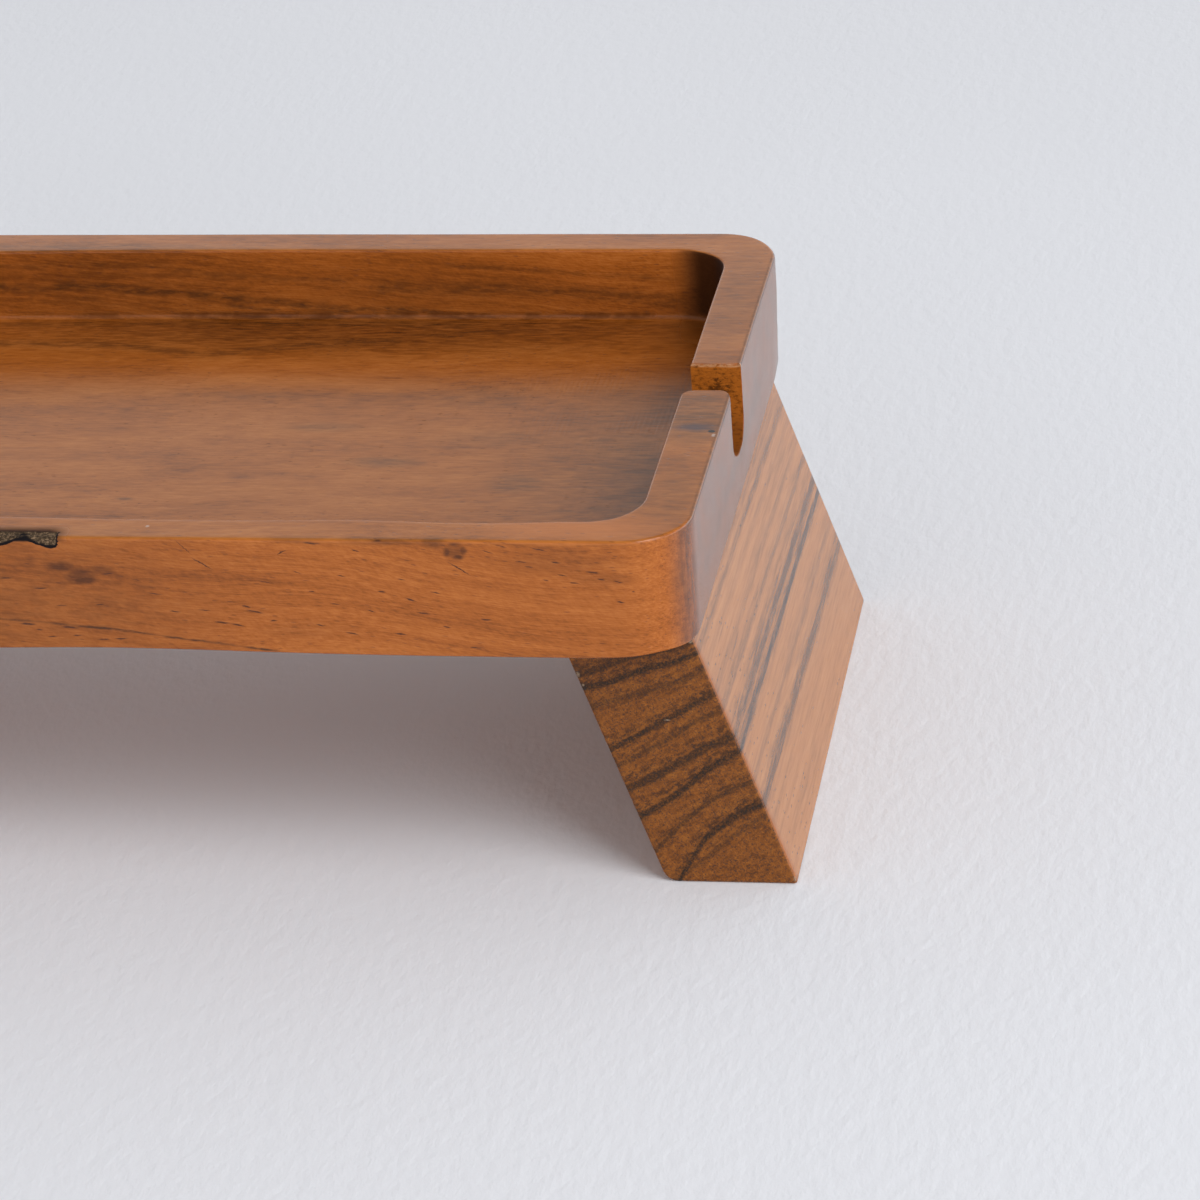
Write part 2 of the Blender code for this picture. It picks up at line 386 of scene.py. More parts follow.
class Finish:
    """A material's node tree, with a short call for each kind of node that the finishes use."""

    def __init__(self, name):
        self.material = bpy.data.materials.new(name)
        self.material.use_nodes = True
        self.tree = self.material.node_tree
        self.shader = self.tree.nodes["Principled BSDF"]
        texture = self.node("ShaderNodeTexCoord")
        self.place = self.vector("MULTIPLY", texture.outputs["Object"], (1 / MM,) * 3)
        self.normal = texture.outputs["Normal"]
        self.x, self.y, self.z = self.parts(self.place)
        self.colour = None

    def node(self, kind, inputs=None, **settings):
        made = self.tree.nodes.new(kind)
        for name, value in settings.items():
            setattr(made, name, value)
        for key, value in (inputs or {}).items():
            self.feed(made.inputs[key], value)
        return made

    def feed(self, socket, value):
        if isinstance(value, bpy.types.NodeSocket):
            self.tree.links.new(value, socket)
        else:
            socket.default_value = value

    def parts(self, vector):
        return tuple(self.node("ShaderNodeSeparateXYZ", {0: vector}).outputs)

    def joined(self, x, y, z):
        return self.node("ShaderNodeCombineXYZ", {0: x, 1: y, 2: z}).outputs[0]

    def calc(self, operation, *values):
        inputs = dict(enumerate(values))
        return self.node("ShaderNodeMath", inputs, operation=operation).outputs[0]

    def times(self, product, *others):
        """The product of all the values."""
        for other in others:
            product = self.calc("MULTIPLY", product, other)
        return product

    def weighted(self, *pairs, base=0.0):
        """The base and the sum of all values, each times its weight."""
        for value, weight in pairs:
            base = self.calc("MULTIPLY_ADD", value, weight, base)
        return base

    def most(self, values):
        """The largest of several values at each place, taken one by one as they are made."""
        largest = 0.0
        for value in values:
            largest = self.calc("MAXIMUM", largest, value)
        return largest

    def vector(self, operation, *values):
        made = self.node("ShaderNodeVectorMath", dict(enumerate(values)), operation=operation)
        return made.outputs["Value" if operation == "LENGTH" else "Vector"]

    def fade(self, value, start, end, low=0.0, high=1.0):
        """low before start, high after end, smooth between them; start may lie above end."""
        inputs = {"Value": value, "From Min": start, "From Max": end, "To Min": low, "To Max": high}
        return self.node("ShaderNodeMapRange", inputs, interpolation_type="SMOOTHSTEP").outputs[0]

    def grains(self, table, axes):
        """The grains of a table by name: the axes that each follows, then the numbers for grain."""
        return {name: self.grain(axes[axis], *numbers) for name, (axis, *numbers) in table.items()}

    def masked(self, limits, values):
        """The product of fades, each given as the name of a value and the numbers for fade."""
        return self.times(*(self.fade(values[name], *numbers) for name, *numbers in limits))

    def turned(self, angles):
        """The place seen along axes that are turned by these angles in degrees."""
        inputs = {"Vector": self.place, "Rotation": tuple(map(math.radians, angles))}
        return self.node("ShaderNodeMapping", inputs).outputs[0]

    def grain(self, place, sizes, detail=2.0, roughness=0.5):
        """Noise whose features have these sizes in millimetres."""
        inputs = {
            "Vector": self.vector("DIVIDE", place, sizes),
            "Scale": 1.0, "Detail": detail, "Roughness": roughness,
        }
        return self.node("ShaderNodeTexNoise", inputs).outputs[0]

    def strayed(self, place, sizes, reach, detail=2.0):
        """x, y and z of a place that strays up to half of reach each way, over these sizes."""
        inputs = {"Vector": self.vector("DIVIDE", place, sizes), "Scale": 1.0, "Detail": detail}
        noises = self.node("ShaderNodeTexNoise", inputs).outputs["Color"]
        moves = self.node("ShaderNodeSeparateColor", {0: noises}).outputs
        return tuple(
            self.calc("MULTIPLY_ADD", move, size, self.calc("SUBTRACT", part, size / 2))
            for move, size, part in zip(moves, reach, self.parts(place))
        )

    def pores(self, place, sizes, radius, kept):
        """Scattered drops in cells of these sizes; kept is the share of the cells that has one."""
        inputs = {"Vector": self.vector("DIVIDE", place, sizes), "Scale": 1.0, "Randomness": 1.0}
        cells = self.node("ShaderNodeTexVoronoi", inputs)
        drop = self.fade(cells.outputs["Distance"], radius, radius * 0.45)
        chance = self.node("ShaderNodeSeparateColor", {0: cells.outputs["Color"]}).outputs[0]
        return self.calc("MULTIPLY", drop, self.calc("LESS_THAN", chance, kept))

    def spot(self, place, centre, sizes, soft=1.0, slant=None, slope=0.0):
        """1 in an ellipsoid, 0 outside it, fading over the outer share soft of its radius.

        It rises along X by the slope when slant is the place's x as a vector along Z.
        """
        middle = (centre[0], centre[1], centre[2] - slope * centre[0])
        scale = tuple(1 / size for size in sizes)
        shift = tuple(-part / size for part, size in zip(middle, sizes))
        fitted = self.vector("MULTIPLY_ADD", place, scale, shift)
        if slope:
            fitted = self.vector("MULTIPLY_ADD", slant, (0, 0, -slope / sizes[2]), fitted)
        return self.fade(self.vector("LENGTH", fitted), 1.0, 1.0 - soft)

    def path(self, along, points):
        """Where a line drawn through the points lies at this place along it."""
        made = self.node("ShaderNodeFloatCurve", {"Value": along})
        made.mapping.use_clip = False
        curve = made.mapping.curves[0]
        curve.points[0].location = points[0]
        curve.points[-1].location = points[-1]
        for point in points[1:-1]:
            curve.points.new(*point)
        made.mapping.update()
        return made.outputs[0]

    def vein(self, along, across, points, half_width, end_fade=4.0):
        """1 on a line drawn through the points, 0 at half_width from it and past its two ends."""
        away = self.calc("ABSOLUTE", self.calc("SUBTRACT", across, self.path(along, points)))
        line = self.fade(away, half_width, 0.0)
        start = self.fade(along, points[0][0], points[0][0] + end_fade)
        end = self.fade(along, points[-1][0], points[-1][0] - end_fade)
        return self.calc("MULTIPLY", line, self.calc("MULTIPLY", start, end))

    def mix(self, share, first, second, blend_type="MIX"):
        inputs = {0: share, 6: first, 7: second}
        made = self.node("ShaderNodeMix", inputs, data_type="RGBA", blend_type=blend_type)
        return made.outputs[2]

    def coat(self, share, colour):
        """Covers the colour so far with another one."""
        self.colour = self.mix(share, self.colour, colour)

    def tint(self, share, colour):
        """Multiplies the colour so far by another one."""
        self.coat(share, self.mix(1.0, self.colour, colour, "MULTIPLY"))

    def ramp(self, value, stops):
        made = self.node("ShaderNodeValToRGB", {0: value})
        elements = made.color_ramp.elements
        elements[0].position, elements[-1].position = stops[0][0], stops[-1][0]
        elements[0].color, elements[-1].color = stops[0][1], stops[-1][1]
        for position, colour in stops[1:-1]:
            elements.new(position).color = colour
        return made.outputs[0]

    def surface(self, roughness, height, depth):
        """Feeds the shader: the colour so far, this roughness and a relief of this depth in metres."""
        relief = self.node("ShaderNodeBump", {"Height": height, "Distance": depth, "Strength": 1.0})
        self.feed(self.shader.inputs["Base Color"], self.colour)
        self.feed(self.shader.inputs["Roughness"], roughness)
        self.feed(self.shader.inputs["Normal"], relief.outputs[0])
        return self.material


def opaque(colour):
    return (*colour, 1.0)


def dimmed(colour, share):
    return (colour[0] * share, colour[1] * share, colour[2] * share, 1.0)


# Marks of the board that the photograph shows, in millimetres

# Pores and nicks of the front face: x, z, half length, half height, fall in degrees
FRONT_NICKS = (
    (19.8, 70.4, 1.6, 0.26, -3), (26.2, 68.3, 1.8, 0.28, -3), (40, 71.6, 1.6, 0.22, -4),
    (37.8, 64.9, 1.1, 0.3, -5), (52.5, 63.6, 1.5, 0.22, 6), (66.7, 64.9, 1.2, 0.36, 10),
    (68.3, 63.8, 2.2, 0.26, 12), (61.6, 61.4, 2, 0.34, 7), (64.6, 60.9, 1.9, 0.3, 10),
    (71.8, 61.9, 0.9, 0.24, 0), (32.5, 58.2, 1.3, 0.28, 0), (37.8, 57.4, 1.5, 0.22, -2),
    (41.2, 57.6, 1.7, 0.28, -2), (27.4, 57.8, 1.2, 0.22, 0), (25, 59.3, 1, 0.28, 4),
    (22.8, 60.5, 2.1, 0.4, 3), (31.2, 59.9, 2.3, 0.36, 4), (58.3, 64, 1.6, 0.2, 3),
    (59, 73.9, 2.6, 0.28, 33), (55.6, 77.4, 2, 0.2, 45), (74.8, 76.5, 1.1, 0.26, -30),
    (80.8, 78.5, 2.2, 0.28, 5), (89.3, 77, 0.9, 0.28, 20), (93.5, 79, 1, 0.26, 0),
    (80, 68.2, 0.8, 0.26, 8), (93.6, 68.3, 1.1, 0.28, 8), (99, 66.7, 1.4, 0.26, 20),
    (101.3, 63.8, 1.7, 0.28, 12), (105.6, 60.9, 0.9, 0.28, 12), (96.5, 59.3, 1.7, 0.26, 8),
    (87, 59.3, 1.5, 0.28, 14), (81, 61, 1.3, 0.22, 10), (113.4, 62.6, 1.3, 0.32, 3),
    (127.6, 74.9, 1.3, 0.32, 5), (110.5, 56.6, 1.1, 0.26, 0), (139.7, 66.6, 0.9, 0.32, 10),
    (108.9, 73.4, 2.9, 0.26, 33), (122.4, 73.9, 1.1, 0.22, 8), (121, 75, 1.3, 0.2, 12),
    (125.4, 71.1, 0.9, 0.2, 6), (134.6, 72.9, 1.6, 0.22, 8), (136.2, 71.4, 1, 0.26, 4),
    (139.4, 70.9, 1.3, 0.2, 10), (142.2, 68.7, 0.4, 0.28, 0), (130.9, 70.6, 1.2, 0.22, 5),
    (117.4, 78.2, 1.4, 0.18, 10), (124.5, 77.6, 2.2, 0.2, 14), (114.6, 77, 1.6, 0.18, 16),
    (128.8, 72.2, 1.4, 0.18, 9), (45.5, 70.3, 1.2, 0.16, 14), (49, 67.4, 1.9, 0.18, 8),
    (71, 70.2, 1.5, 0.16, 12), (77.4, 72.3, 1.2, 0.16, 18), (86, 71.6, 1.1, 0.18, 10),
    (91, 64.2, 1.4, 0.18, 12), (84.2, 65.6, 1.1, 0.18, 9), (97.6, 71, 0.9, 0.2, 14),
    (104, 68.2, 1.3, 0.18, 12), (13, 66.8, 1.7, 0.2, -4), (30, 64.6, 1.5, 0.16, -2),
)

# Dark vein along the lower front: x, z
FRONT_VEIN = (
    (-8, 64), (10, 62.4), (17.5, 61.5), (24, 61.1), (33, 60.2), (42, 59.4),
    (48, 58.5), (54, 57.7), (60, 57), (66, 56.1), (74, 55.1),
)

# Lower edge of the bark pocket on the front face: x, z
BARK_EDGE = (
    (3, 79.8), (6, 78.2), (10, 77), (15, 76.7), (19.5, 77.3), (24.3, 78.5),
    (27, 77.5), (29.5, 76.9), (31.2, 77.7), (32.2, 80.2),
)
BARK_BACK_Y = -72.5
BARK_START_X = 4.0
BARK_END_X = 30.9

# Dark grain lines of the pocket's back wall: points as x, z, then half width and darkness
WALL_VEINS = (
    (((-90, 72), (-40, 70), (-20, 71), (-10, 70.4), (0, 71.2), (10, 70), (20, 69.3), (30, 68.2),
      (45, 66.7), (60, 65.3)), 1.8, 0.8),
    (((62, 71), (80, 70.2), (95, 70.2), (115, 69), (134, 66.5)), 2.6, 0.62),
    (((-60, 74), (-20, 75.5), (10, 75.8), (30, 73.5), (60, 72.2)), 1.5, 0.4),
    (((78, 75.6), (95, 75), (110, 73.8), (132, 72.5)), 1.2, 0.4),
    (((54, 65), (62, 65.3), (70, 65.4), (80, 64.6)), 1.1, 0.85),
    (((24, 68.8), (30, 66.8), (36, 65.8), (44, 65)), 1, 0.7),
)

# Dark grain lines of the pocket floor: points as x, y, then half width and darkness
FLOOR_VEINS = (
    (((-110, 44), (-60, 49), (-30, 51), (-10, 52), (10, 51), (20, 48.5), (27, 46.6), (35, 47),
      (42, 49), (50, 51), (60, 52.5), (74, 54.5)), 3.4, 0.62),
    (((14, 50), (20, 48.3), (27, 46.5), (35, 46.9), (42, 48.8), (48, 50.6)), 1.3, 0.6),
    (((60, 53), (85, 57.5), (105, 60), (136, 62)), 2.6, 0.3),
    (((-110, 60), (0, 62.5), (40, 62.8), (90, 62)), 2.8, 0.5),
)

# Soft dark patches of the board, two of them painted shade: centre x, y, z, radius along x, y, z, darkness
SHADES = (
    (30.8, -75, 73, 5.2, 5, 3, 0.95), (34.8, -75, 70.9, 6.4, 5, 3.4, 1),
    (38.8, -75, 72.4, 5.2, 5, 2.2, 0.8), (24, -75, 74.6, 7, 4, 1, 0.55),
    (48, -75, 66.6, 7, 5, 1.9, 0.3), (10, -75, 66, 75, 9, 26, 0.56),
    (22, -75, 76, 10, 4, 2.4, 0.35), (36, -75, 66, 22, 5, 10, 0.22),
    (104.4, -75, 78.8, 3.6, 3, 1.7, 0.95), (106.9, -75, 76.9, 1.1, 4, 1.7, 0.95),
    (108.9, -75, 75.8, 2, 4, 0.9, 0.95), (110, -75, 77.2, 1.1, 4, 1.5, 0.9),
    (108.4, -75, 78.5, 2, 4, 0.8, 0.9), (108.4, -75, 77.2, 3.2, 4, 2.6, 0.6),
    (94, -75, 79, 14, 2.2, 1.3, 0.6), (78, -75, 79.2, 10, 2.2, 1, 0.4),
    (128, -75, 75, 16, 4, 4.5, 0.3), (136, -75, 71.5, 10, 4, 2, 0.35),
    (78, -75, 60, 14, 5, 3, 0.2), (151, -72, 69.5, 3, 6, 6, 0.4),
    (147.5, 30, 79.3, 6.5, 2.6, 2, 0.45), (147.5, 45, 79.3, 5, 2.2, 2, 0.4),
    (146.5, -38.5, 79.3, 5, 1.6, 2, 0.45), (147, -50, 79.3, 5, 1.6, 2, 0.35),
    (147, -11, 79.3, 9, 3.5, 2.5, 0.75), (147, -19, 79.3, 12, 19, 2.5, 0.78),
    (147, 38, 79.3, 10, 42, 2.5, 0.42), (147, -52, 79.3, 9, 26, 2.5, 0.34),
    (80, -7, 63.3, 11, 4, 2, 0.55), (110, -16.5, 63.3, 10, 8, 2, 0.6),
    (103, 4, 63.3, 17, 7, 2, 0.35), (64, 9.5, 63.3, 12, 3.5, 2, 0.4),
    (30, -25, 63.3, 3, 1, 2, 0.6), (47, 25, 63.3, 16, 3, 2, 0.25),
    # (142, -6, 63.3) is painted shade over the pocket floor's right part, towards the end wall
    (96, 24, 63.3, 16, 8, 2, 0.3), (142, -6, 63.3, 48, 70, 3, 0.62),
    (60, 62, 63.3, 120, 24, 3, 0.86), (-2, 66.4, 67, 16, 6, 4.5, 0.78),
    (0, 66.4, 72, 75, 5, 17, 0.66),
    # (40, 66.4, 64.2) is painted shade along the foot of the pocket's back wall
    (70, 66.4, 71, 50, 5, 15, 0.42), (40, 66.4, 64.2, 60, 2.5, 1.6, 0.6),
    (152.5, -28, 66, 3, 5, 3, 0.35), (152.5, 23, 66, 3, 8, 4, 0.35),
)

# Pale scratches of the rim: centre, then radii
PALE_MARKS = (
    ((47.5, -69.8, 79.3), (0.5, 0.6, 1)),
    ((151.6, -27.4, 79.3), (0.5, 0.9, 1)), ((18, -72.8, 79.2), (0.5, 0.5, 0.8)),
)


# Grain of the board: the axes that it follows, sizes of its features, detail and roughness
BOARD_GRAINS = {
    "bands": ("along", (120, 9, 6), 3, 0.5),
    "streaks": ("along", (42, 1.5, 1.1), 3, 0.6),
    "fibres": ("along", (3.4, 0.34, 0.27), 3, 0.65),
    "figure": ("tilted", (1.4, 6, 0.5), 3, 0.6),
    "blotches": ("turned", (15, 7, 20), 4, 0.6),
    "flecks": ("place", (4.5, 0.8, 1.4), 3, 0.65),
    "crowds": ("place", (26, 16, 9), 2, 0.5),
    "crumbs": ("place", (0.5, 0.5, 0.35), 3, 0.7),
    "ends": ("place", (6, 1.1, 7), 3, 0.7),
    "torn": ("place", (1.3, 0.7, 0.7), 4, 0.7),
}
FIGURE_TURN = (0, -38, 0)
BLOTCH_TURN = (0, 0, -35)

# How far the grain and the outlines of the marks stray: sizes, reach and detail
GRAIN_DRIFT = ((75, 45, 45), (0, 16, 14), 1)
GRAIN_CLIMB = 0.1
RAGGED_EDGES = ((1.3, 0.8, 0.5), (0.9, 0.5, 0.42), 3)

# Shares of the grains in the tone of upright faces and of level ones
SIDE_TONE = (("streaks", 0.24), ("bands", 0.22), ("fibres", 0.36), ("figure", 0.18))
TOP_TONE = (("blotches", 0.14), ("bands", 0.30), ("flecks", 0.28), ("fibres", 0.20), ("streaks", 0.10))

# Masks of the board: the value that each depends on, where it starts, where it is full, and both levels
RIM_MM = RIM / MM
BOARD_MASKS = {
    "top": (("normal_z", 0.6, 0.9),),
    "end": (("turn_x", 0.6, 0.98),),
    "floor": (("z", 66, 64),),
    "front": (("y", -66, -70),),
    "back_wall": (("y", 58, 62), ("y", 70, 68)),
    # The floor strip before the back wall, where the painted sheen of level faces is left off
    "back_floor": (("z", 66, 64), ("y", 25, 42)),
    "uneven": (("streaks", 0.25, 0.6, 1.1, 0.75), ("flecks", 0.36, 0.64, 1.15, 0.7)),
    # Along the front rim's eased edge, where a painted highlight lies
    "front_edge_lighting": (("z", 78.4, 79), ("streaks", 0.35, 0.6, 0.35, 0.75), ("y", -74.1, -74.6, 0, 0.7)),
    # Along the rim's outer edge at both ends, where painted shade lies
    "end_edge_shade": (("z", 78.4, 79), ("streaks", 0.35, 0.6, 0.35, 0.75), ("side_x", 151.5, 152.1)),
    "smoke": (
        ("ragged_x", 33.5, 28.5), ("ragged_x", 0, 6), ("ragged_y", -69.2, -73, 0, 0.95), ("z", 78, 78.6),
    ),
    "pocket": (("y", 68, 67.5), ("side_x", 143.6, 143.2)),
    # In the pocket's two back inner corners, where painted shade lies
    "corner_shade": (("side_x", 128.5, 136.5), ("y", 48, 60), ("z", 63, 65.5, 0.3, 0.93), ("z", 79.25, 79.05)),
    # Along the cove at the foot of the back wall, where painted shade lies
    "cove_shade": (("y", 64.6, 65.6), ("z", 65.2, 64.3, 0, 0.75), ("blotches", 0.4, 0.56, 1, 0.15)),
    "broken_vein": (("flecks", 0.35, 0.62, 1, 0.35),),
    "crowd": (("crowds", 0.42, 0.62, 0.05, 0.4),),
    "crumb": (("crumbs", 0.44, 0.64),),
    "end_grain": (("ends", 0.36, 0.62),),
    "slot": (
        ("x", 141.4, 141.7), ("x", 152.46, 152.38), ("z", 63.4, 63.5), ("z", RIM_MM - 0.05, RIM_MM - 0.2),
    ),
    "slot_foot": (("z", 70, 65, 0, 0.55),),
    "whole": (("torn", 0.3, 0.54),),
    "pitted": (("torn", 0.62, 0.44),),
    "chip": (
        ("z", RIM_MM - 0.9, RIM_MM - 0.6), ("z", RIM_MM - 0.04, RIM_MM - 0.12),
        ("y", 6.3, 6.45), ("y", 7.4, 7.2), ("x", 141.8, 142.2), ("torn", 0.4, 0.56, 0.05, 0.75),
    ),
    "chatter": (
        ("x", 84, 116), ("y", -14, 12), ("y", 46, 30), ("blotches", 0.58, 0.44, 0.3, 1), ("z", 66, 64),
    ),
}
SLOT_HALF_WIDTH = 6.62
FRONT_Y = -75
NICK_REACH = 2.5
# Tint of level faces: a painted sheen, greyer and greener, left off on the floor strip before the back wall
PAINTED_SHEEN_TINT = (0.94, 1.05, 1.09, 1)

# Spots with a colour of their own: centre, then radii
LIT_CORNER = ((131, -69, 79.3), (27, 10, 3), 0.9)
STAINED = ((147.4, -23.8, 79.3), (6.4, 2.8, 2), 0.9)
HOLE = ((151, -25.6, 79.3), (1, 0.8, 1.2), 0.5)
TORN_CLUMP = ((148, 6.4, 73.5), (3.6, 3, 3.4), 0.8)

# Pores of the board and ripples that the router left on the pocket floor
BOARD_PORES = ((3, 0.6, 0.46), 0.27)
RIPPLE_LENGTH = 1.05
RIPPLE_SWAY = 5


def board_values(f, ragged):
    """Everything that the board's masks depend on, by name."""
    drift_x, drift_y, drift_z = f.strayed(f.place, *GRAIN_DRIFT)
    axes = {
        "place": f.place,
        "along": f.joined(drift_x, drift_y, f.calc("MULTIPLY_ADD", f.x, GRAIN_CLIMB, drift_z)),
        "tilted": f.turned(FIGURE_TURN),
        "turned": f.turned(BLOTCH_TURN),
    }
    normal_x, _, normal_z = f.parts(f.normal)
    values = {
        "x": f.x, "y": f.y, "z": f.z, "side_x": f.calc("ABSOLUTE", f.x),
        "turn_x": f.calc("ABSOLUTE", normal_x), "normal_z": normal_z,
        "ragged_x": ragged[0], "ragged_y": ragged[1],
    }
    return values | f.grains(BOARD_GRAINS, axes), axes["along"]


def bark_shares(f, ragged_x, ragged_y, ragged_z):
    """How far inside its outline a place of the bark pocket lies, and the pocket itself."""
    inside = f.calc("SUBTRACT", ragged_z, f.path(ragged_x, BARK_EDGE))
    to_end = f.times(f.calc("SUBTRACT", BARK_END_X, ragged_x), 1.6)
    inside = f.calc("SMOOTH_MIN", inside, to_end, 0.9)
    inside = f.calc("MINIMUM", inside, f.calc("SUBTRACT", ragged_x, BARK_START_X))
    return inside, f.times(f.fade(inside, -0.05, 0.12), f.fade(ragged_y, BARK_BACK_Y, BARK_BACK_Y - 0.4))


def board_wood(wood):
    """Orange-brown hardwood with its grain along X, its marks, painted shade, highlight and sheen, and a
    satin finish.
    """
    f = Finish("tray_wood_satin")
    ragged_x, ragged_y, ragged_z = f.strayed(f.place, *RAGGED_EDGES)
    ragged = f.joined(ragged_x, ragged_y, ragged_z)
    values, along = board_values(f, (ragged_x, ragged_y))

    def mask(name):
        return f.masked(BOARD_MASKS[name], values)

    shades = f.most(
        f.times(f.spot(ragged, (x, y, z), (rx, ry, rz), 0.8), darkness)
        for x, y, z, rx, ry, rz, darkness in SHADES
    )
    slant = f.joined(0.0, 0.0, ragged_x)
    nicks = f.most(
        f.spot(
            ragged, (x, FRONT_Y, z), (length, NICK_REACH, 0.85 * height), 0.7,
            slant, -math.tan(math.radians(fall)),
        )
        for x, z, length, height, fall in FRONT_NICKS
    )

    def veins():
        for table, across, place_share in (
            (WALL_VEINS, ragged_z, mask("back_wall")), (FLOOR_VEINS, ragged_y, mask("floor")),
        ):
            for points, half_width, darkness in table:
                yield f.times(f.vein(ragged_x, across, points, half_width), place_share, darkness)
        yield f.times(f.vein(ragged_x, ragged_z, FRONT_VEIN, 0.42), mask("front"))

    vein_share = f.times(f.most(veins()), mask("broken_vein"))
    inside, bark_share = bark_shares(f, ragged_x, ragged_y, ragged_z)

    on_top = mask("top")
    side_tone = f.weighted(*((values[name], share) for name, share in SIDE_TONE))
    top_tone = f.weighted(*((values[name], share) for name, share in TOP_TONE))
    tone = f.calc("MULTIPLY_ADD", on_top, f.calc("SUBTRACT", top_tone, side_tone), side_tone)
    f.colour = f.ramp(tone, (
        (0.38, opaque(wood.tray_dark)), (0.50, opaque(wood.tray_base)), (0.62, opaque(wood.tray_light)),
    ))
    # Painted highlight along the front rim's eased edge
    f.coat(mask("front_edge_lighting"), dimmed(wood.tray_light, 1.12))
    # Level faces outside the floor strip before the back wall: their dark patches take the smudge colour,
    # and a tint paints sheen onto them
    level_sheen_share = f.times(on_top, f.calc("SUBTRACT", 1.0, mask("back_floor")))
    f.coat(f.times(shades, mask("uneven")), f.mix(level_sheen_share, opaque(wood.tray_knot_and_shade), opaque(wood.tray_smudge_and_shade)))
    f.tint(level_sheen_share, PAINTED_SHEEN_TINT)
    f.coat(f.times(f.spot(ragged, *LIT_CORNER), 0.6), dimmed(wood.tray_light, 1.1))
    # Painted shade along the rim's outer edge at both ends
    f.coat(mask("end_edge_shade"), opaque(wood.tray_smudge_and_shade))
    smoke = mask("smoke")
    f.coat(smoke, opaque(wood.char))
    in_pocket = mask("pocket")
    # Painted shade in the pocket's two back inner corners, whose sheen is also dulled
    corner_shade = f.times(mask("corner_shade"), in_pocket)
    f.coat(corner_shade, dimmed(wood.tray_dark, 0.12))
    # Painted shade along the cove at the foot of the back wall, whose sheen is also dulled
    cove_shade = f.times(mask("cove_shade"), in_pocket)
    f.coat(cove_shade, opaque(wood.tray_knot_and_shade))
    f.coat(f.times(f.spot(ragged, *STAINED), 0.75), opaque(wood.stain))
    f.coat(f.spot(ragged, *HOLE), opaque(wood.char))
    scratched = f.most(f.spot(ragged, centre, sizes, 0.6) for centre, sizes in PALE_MARKS)
    f.coat(f.times(scratched, 0.6), opaque(wood.scratch))
    f.coat(vein_share, opaque(wood.tray_vein))
    dots = f.times(f.pores(along, *BOARD_PORES, mask("crowd")), 0.55)
    f.coat(f.calc("MAXIMUM", nicks, f.times(dots, 0.9)), opaque(wood.tray_nick))

    bark = f.mix(mask("crumb"), dimmed(wood.bark, 0.2), opaque(wood.bark))
    f.coat(bark_share, f.mix(f.fade(inside, 0.80, 0.45), bark, opaque(wood.char)))

    on_end = mask("end")
    end_tint = (wood.board_end, wood.board_end * 0.94, wood.board_end * 0.9)
    f.tint(on_end, f.mix(mask("end_grain"), dimmed(end_tint, 0.62), dimmed(end_tint, 1.2)))

    in_slot = f.times(mask("slot"), f.calc("LESS_THAN", f.calc("ABSOLUTE", f.y), SLOT_HALF_WIDTH))
    whole = f.calc("SUBTRACT", mask("whole"), f.times(f.spot(ragged, *TORN_CLUMP), mask("pitted")))
    slot_colour = f.mix(whole, dimmed(wood.slot_wood, 0.32), dimmed(wood.slot_wood, 1.12))
    f.coat(in_slot, f.mix(mask("slot_foot"), slot_colour, dimmed(wood.tray_dark, 0.4)))
    f.coat(mask("chip"), opaque(wood.broken_wood))

    phase = f.weighted((f.x, math.tau / RIPPLE_LENGTH), (values["figure"], RIPPLE_SWAY))
    ripples = f.times(f.calc("SINE", phase), mask("chatter"))
    height = f.weighted(
        (values["streaks"], 0.5), (values["fibres"], 0.3), (dots, -0.8), (ripples, 0.38),
        (f.times(values["torn"], in_slot), 3.0),
    )
    dull = f.most((in_slot, corner_shade, cove_shade, bark_share, smoke))
    roughness = f.weighted((values["bands"], 0.1), (dull, 0.5), base=wood.gloss_roughness - 0.05)
    specular = f.calc("MULTIPLY_ADD", on_end, 0.5, 0.39)
    specular = f.times(specular, f.calc("MULTIPLY_ADD", dull, -0.8, 1.0))
    f.feed(f.shader.inputs["Specular IOR Level"], specular)
    return f.surface(roughness, height, 0.04 * MM)


